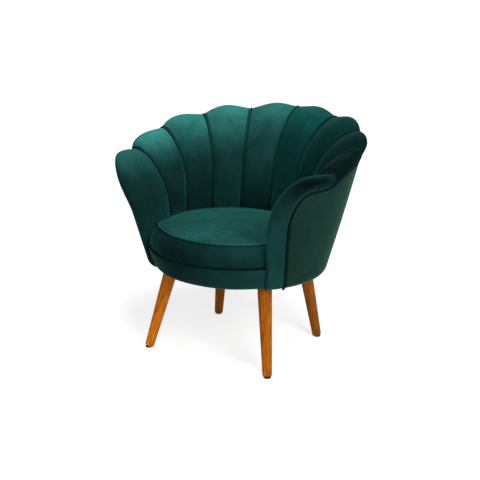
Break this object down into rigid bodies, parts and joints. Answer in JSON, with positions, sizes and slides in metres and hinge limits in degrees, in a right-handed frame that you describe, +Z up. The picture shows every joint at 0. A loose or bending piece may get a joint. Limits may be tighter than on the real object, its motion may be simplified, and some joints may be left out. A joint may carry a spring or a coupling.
{
  "type": "tub chair",
  "caption": "Upholstered tub chair with a scalloped channelled back rolling over into rounded arms, a thick crowned seat cushion and splayed round tapered legs.",
  "frame": {"origin": "on the floor, under the middle of the chair's width and depth", "axes": "+Z up, the chair's front faces -Y, +X to the sitter's left"},
  "size_m": [0.8406, 0.737, 0.794],
  "materials": {
    "velvet": "deep green upholstery velvet with a soft sheen",
    "welt": "dark green covered cord",
    "stained_wood": "orange-brown stain under satin varnish",
    "plywood": "raw plywood",
    "pine": "planed softwood",
    "webbing": "woven elastic webbing",
    "lining_fabric": "black non-woven lining",
    "steel": "zinc-plated steel",
    "glide_plastic": "dark nylon"
  },
  "bodies": {
    "root": {"back_left_glide": "glide_plastic", "back_left_hanger_bolt": "steel", "back_left_leg": "stained_wood", "back_left_leg_block": "pine", "back_left_tee_nut": "steel", "back_right_glide": "glide_plastic", "back_right_hanger_bolt": "steel", "back_right_leg": "stained_wood", "back_right_leg_block": "pine", "back_right_tee_nut": "steel", "back_seat_rail": "pine", "back_shell_board": "plywood", "base_board": "plywood", "center_seam_piping": "velvet", "cross_seat_strap_1": "webbing", "cross_seat_strap_2": "webbing", "cross_seat_strap_3": "webbing", "dust_cover": "lining_fabric", "front_border": "velvet", "front_left_glide": "glide_plastic", "front_left_hanger_bolt": "steel", "front_left_leg": "stained_wood", "front_left_leg_block": "pine", "front_left_tee_nut": "steel", "front_right_glide": "glide_plastic", "front_right_hanger_bolt": "steel", "front_right_leg": "stained_wood", "front_right_leg_block": "pine", "front_right_tee_nut": "steel", "front_seat_rail": "pine", "left_arm_pad": "velvet", "left_back_channel_1": "velvet", "left_back_channel_2": "velvet", "left_back_channel_3": "velvet", "left_back_channel_4": "velvet", "left_seam_piping_1": "velvet", "left_seam_piping_2": "velvet", "left_seam_piping_3": "velvet", "left_seam_piping_4": "velvet", "left_seat_rail": "pine", "left_shell_board": "plywood", "long_seat_strap_1": "webbing", "long_seat_strap_2": "webbing", "long_seat_strap_3": "webbing", "outer_cover": "velvet", "outer_edge_welt": "welt", "right_arm_pad": "velvet", "right_back_channel_1": "velvet", "right_back_channel_2": "velvet", "right_back_channel_3": "velvet", "right_back_channel_4": "velvet", "right_seam_piping_1": "velvet", "right_seam_piping_2": "velvet", "right_seam_piping_3": "velvet", "right_seam_piping_4": "velvet", "right_seat_rail": "pine", "right_shell_board": "plywood", "seat_cushion": "velvet", "seat_cushion_piping": "velvet", "seat_deck": "lining_fabric"}
  },
  "joints": []
}
